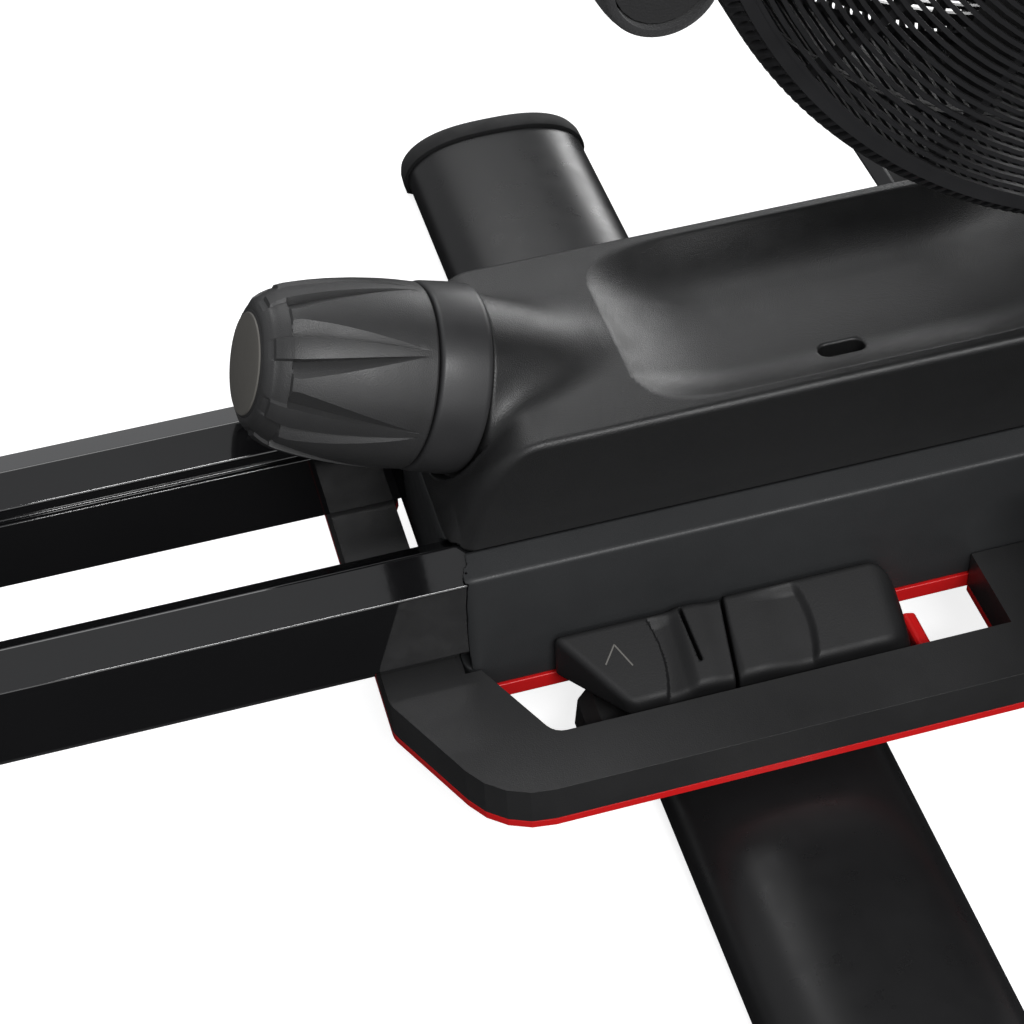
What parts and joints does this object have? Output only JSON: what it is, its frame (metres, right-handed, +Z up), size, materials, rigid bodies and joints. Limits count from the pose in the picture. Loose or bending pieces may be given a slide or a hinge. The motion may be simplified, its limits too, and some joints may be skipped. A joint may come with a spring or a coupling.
{
  "type": "rowing machine",
  "caption": "Twin-rail rowing machine with a caged fan, sliding seat, pull handle, tilting console, tension knob and lockable cross foot",
  "frame": {"origin": "on the floor, at the middle of the bounding box's base", "axes": "+X from the rower towards the fan, +Y to the rower's left, +Z up"},
  "size_m": [1.8, 0.7, 0.8461],
  "materials": {
    "gloss_black_paint": "gloss black enamel on the rails",
    "satin_black_paint": "satin black powder coat",
    "textured_plastic": "fine-grained moulded black plastic",
    "smooth_plastic": "smooth black moulding",
    "grey_plastic": "satin grey plastic",
    "red_plastic": "bright red accent strip",
    "black_rubber": "matte black rubber",
    "foam": "black upholstery and closed-cell foam",
    "webbing": "woven black webbing",
    "steel": "bright turned steel",
    "cast_iron": "grey iron",
    "screen_glass": "dark glossy display window"
  },
  "bodies": {
    "frame": {"body_trim": "red_plastic", "console_bracket": "smooth_plastic", "fan_axle": "steel", "fan_cage_left": "smooth_plastic", "fan_cage_right": "smooth_plastic", "fan_fork": "satin_black_paint", "foot_saddle_left": "black_rubber", "foot_saddle_right": "black_rubber", "foot_strap_left": "webbing", "foot_strap_right": "webbing", "footplate_left": "smooth_plastic", "footplate_right": "smooth_plastic", "front_foot": "satin_black_paint", "handle_cradle": "satin_black_paint", "knob_collar": "textured_plastic", "lock_cover_left": "textured_plastic", "lock_cover_right": "textured_plastic", "lower_body": "textured_plastic", "main_spine": "satin_black_paint", "middle_foot": "satin_black_paint", "middle_foot_cap_left": "black_rubber", "middle_foot_cap_right": "black_rubber", "rail_cap_left": "smooth_plastic", "rail_cap_right": "smooth_plastic", "rail_left": "gloss_black_paint", "rail_right": "gloss_black_paint", "rear_foot": "satin_black_paint", "side_frame": "satin_black_paint", "side_frame_trim": "red_plastic", "upper_cover": "textured_plastic"},
    "knob": {"tension_knob": "textured_plastic", "knob_cap": "grey_plastic", "knob_shaft": "steel"},
    "fan": {"fan_wheel": "smooth_plastic", "flywheel": "cast_iron"},
    "drum": {"strap_drum": "smooth_plastic"},
    "brake": {"brake_yoke": "cast_iron"},
    "handle": {"handle_bar": "satin_black_paint", "handle_grip_right": "foam", "handle_grip_left": "foam", "pull_strap": "webbing"},
    "guide_roller": {"strap_roller": "grey_plastic"},
    "console": {"console_case": "smooth_plastic", "console_screen": "screen_glass"},
    "seat": {"seat_pad": "foam", "seat_carriage": "satin_black_paint"},
    "lock_lever_right": {"lock_lever_right": "textured_plastic"},
    "release_tab_right": {"release_tab_right": "red_plastic"},
    "heel_cup_right": {"heel_cup_right": "smooth_plastic"},
    "transport_wheel_right": {"transport_wheel_right": "black_rubber"},
    "console_button_right": {"console_button_right": "grey_plastic"},
    "seat_roller_front_right": {"seat_roller_front_right": "grey_plastic"},
    "seat_roller_rear_right": {"seat_roller_rear_right": "grey_plastic"},
    "lock_lever_left": {"lock_lever_left": "textured_plastic"},
    "release_tab_left": {"release_tab_left": "red_plastic"},
    "heel_cup_left": {"heel_cup_left": "smooth_plastic"},
    "transport_wheel_left": {"transport_wheel_left": "black_rubber"},
    "console_button_left": {"console_button_left": "grey_plastic"},
    "seat_roller_front_left": {"seat_roller_front_left": "grey_plastic"},
    "seat_roller_rear_left": {"seat_roller_rear_left": "grey_plastic"}
  },
  "joints": [
    {"name": "knob_turn", "type": "hinge", "parent": "frame", "child": "knob", "pos_m": [0.311, 0, 0.1653], "axis": [-0.9373, 0, 0.3486], "range_deg": [-135, 135]},
    {"name": "brake_swing", "type": "hinge", "parent": "frame", "child": "brake", "pos_m": [0.6205, 0.024, 0.319], "axis": [0, 1, 0], "range_deg": [-4.1, 4.1]},
    {"name": "fan_spin", "type": "hinge", "parent": "frame", "child": "fan", "pos_m": [0.6085, 0, 0.446], "axis": [0, 1, 0], "continuous": true},
    {"name": "handle_pull", "type": "slide", "parent": "frame", "child": "handle", "axis": [-1, 0, 0], "range_m": [0, 1.15], "stiffness_N_per_m": 25, "springref_m": -0.3},
    {"name": "drum_turn", "type": "hinge", "parent": "frame", "child": "drum", "pos_m": [0.6085, 0, 0.446], "axis": [0, -1, 0], "range_deg": [0, 1600]},
    {"name": "guide_roller_turn", "type": "hinge", "parent": "frame", "child": "guide_roller", "pos_m": [0.3735, 0, 0.4786], "axis": [0, -1, 0], "continuous": true},
    {"name": "console_tilt", "type": "hinge", "parent": "frame", "child": "console", "pos_m": [0.602, 0, 0.748], "axis": [0, 1, 0], "range_deg": [-15, 15]},
    {"name": "seat_slide", "type": "slide", "parent": "frame", "child": "seat", "axis": [1, 0, 0], "range_m": [-0.37, 0.42]},
    {"name": "lock_lever_right_open", "type": "hinge", "parent": "frame", "child": "lock_lever_right", "pos_m": [0.478, -0.08455, 0.05], "axis": [0, 1, 0], "range_deg": [0, 65]},
    {"name": "release_tab_right_press", "type": "slide", "parent": "frame", "child": "release_tab_right", "axis": [0, 0, -1], "range_m": [0, 0.004], "stiffness_N_per_m": 500},
    {"name": "heel_right_slide", "type": "slide", "parent": "frame", "child": "heel_cup_right", "axis": [0.6157, 0, 0.788], "range_m": [0, 0.06]},
    {"name": "transport_wheel_right_spin", "type": "hinge", "parent": "frame", "child": "transport_wheel_right", "pos_m": [0.872, -0.14, 0.032], "axis": [0, 1, 0], "continuous": true},
    {"name": "console_button_right_press", "type": "slide", "parent": "console", "child": "console_button_right", "axis": [0.8829, 0, -0.4695], "range_m": [0, 0.0015], "stiffness_N_per_m": 800},
    {"name": "seat_roller_front_right_spin", "type": "hinge", "parent": "seat", "child": "seat_roller_front_right", "pos_m": [-0.28, -0.049, 0.1344], "axis": [0, 1, 0], "continuous": true},
    {"name": "seat_roller_rear_right_spin", "type": "hinge", "parent": "seat", "child": "seat_roller_rear_right", "pos_m": [-0.42, -0.049, 0.1344], "axis": [0, 1, 0], "continuous": true},
    {"name": "lock_lever_left_open", "type": "hinge", "parent": "frame", "child": "lock_lever_left", "pos_m": [0.478, 0.08455, 0.05], "axis": [0, 1, 0], "range_deg": [0, 65]},
    {"name": "release_tab_left_press", "type": "slide", "parent": "frame", "child": "release_tab_left", "axis": [0, 0, -1], "range_m": [0, 0.004], "stiffness_N_per_m": 500},
    {"name": "heel_left_slide", "type": "slide", "parent": "frame", "child": "heel_cup_left", "axis": [0.6157, 0, 0.788], "range_m": [0, 0.06]},
    {"name": "transport_wheel_left_spin", "type": "hinge", "parent": "frame", "child": "transport_wheel_left", "pos_m": [0.872, 0.14, 0.032], "axis": [0, 1, 0], "continuous": true},
    {"name": "console_button_left_press", "type": "slide", "parent": "console", "child": "console_button_left", "axis": [0.8829, 0, -0.4695], "range_m": [0, 0.0015], "stiffness_N_per_m": 800},
    {"name": "seat_roller_front_left_spin", "type": "hinge", "parent": "seat", "child": "seat_roller_front_left", "pos_m": [-0.28, 0.049, 0.1344], "axis": [0, 1, 0], "continuous": true},
    {"name": "seat_roller_rear_left_spin", "type": "hinge", "parent": "seat", "child": "seat_roller_rear_left", "pos_m": [-0.42, 0.049, 0.1344], "axis": [0, 1, 0], "continuous": true}
  ],
  "couplings": [
    {"joint": "brake_swing", "follows": "knob_turn", "ratio": 0.03},
    {"joint": "drum_turn", "follows": "handle_pull", "rad_per_m": 23.8},
    {"joint": "guide_roller_turn", "follows": "handle_pull", "rad_per_m": 120},
    {"joint": "seat_roller_front_right_spin", "follows": "seat_slide", "rad_per_m": 69.4},
    {"joint": "seat_roller_rear_right_spin", "follows": "seat_slide", "rad_per_m": 69.4},
    {"joint": "seat_roller_front_left_spin", "follows": "seat_slide", "rad_per_m": 69.4},
    {"joint": "seat_roller_rear_left_spin", "follows": "seat_slide", "rad_per_m": 69.4}
  ]
}
